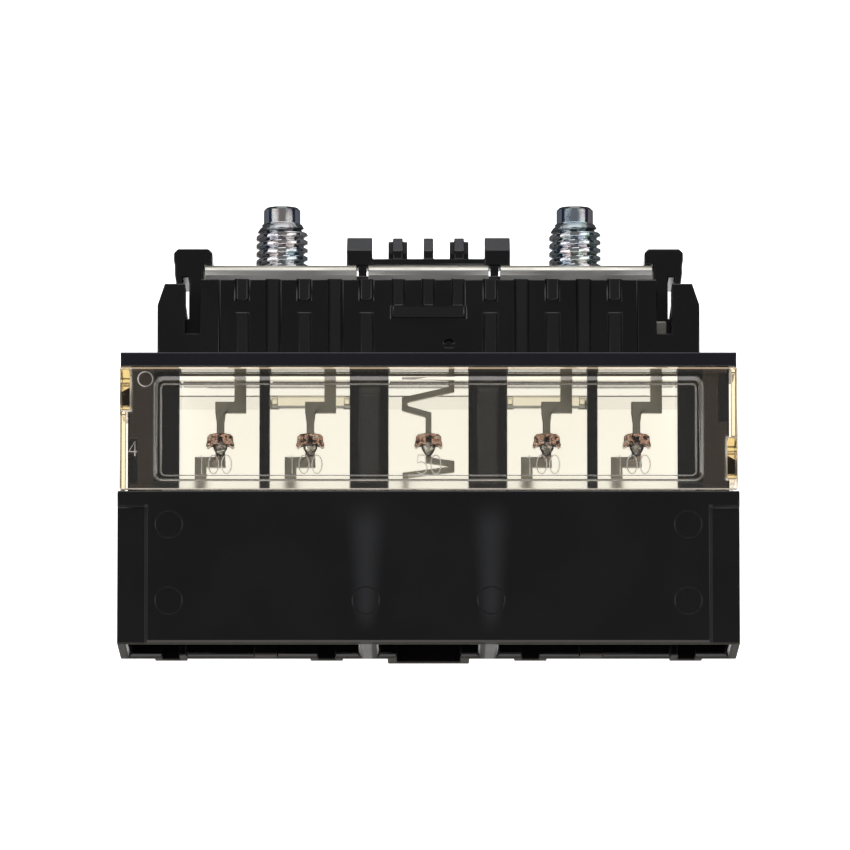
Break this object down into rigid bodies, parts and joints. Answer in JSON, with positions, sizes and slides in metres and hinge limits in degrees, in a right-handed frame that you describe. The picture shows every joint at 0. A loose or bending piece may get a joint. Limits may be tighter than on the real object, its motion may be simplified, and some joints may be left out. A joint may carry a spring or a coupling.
{
  "type": "fuse holder",
  "caption": "Moulded battery fuse block with stud terminals on bent bus bars, strip fuses behind clear clip-on covers and plug-in hoods.",
  "frame": {"origin": "middle of the resting back at floor level, halfway along the height of the block", "axes": "+X along the width, +Y towards the stud tips, +Z out of the front face; the block lies on its back"},
  "size_m": [0.0942, 0.0694, 0.0264],
  "materials": {
    "black_moulding": "satin",
    "clear_cover": "polished",
    "tinned_copper": "satin",
    "plated_steel": "bright",
    "tin": "satin"
  },
  "bodies": {
    "root": {"housing": "black_moulding", "front_window": "clear_cover", "rear_window": "clear_cover", "left_bus_bar": "tinned_copper", "centre_bus_bar": "tinned_copper", "right_bus_bar": "tinned_copper", "left_stud": "plated_steel", "right_stud": "plated_steel", "fuse_pellet_1": "tin", "fuse_pellet_2": "tin", "fuse_pellet_3": "tin", "fuse_pellet_4": "tin", "fuse_pellet_5": "tin"}
  },
  "joints": []
}
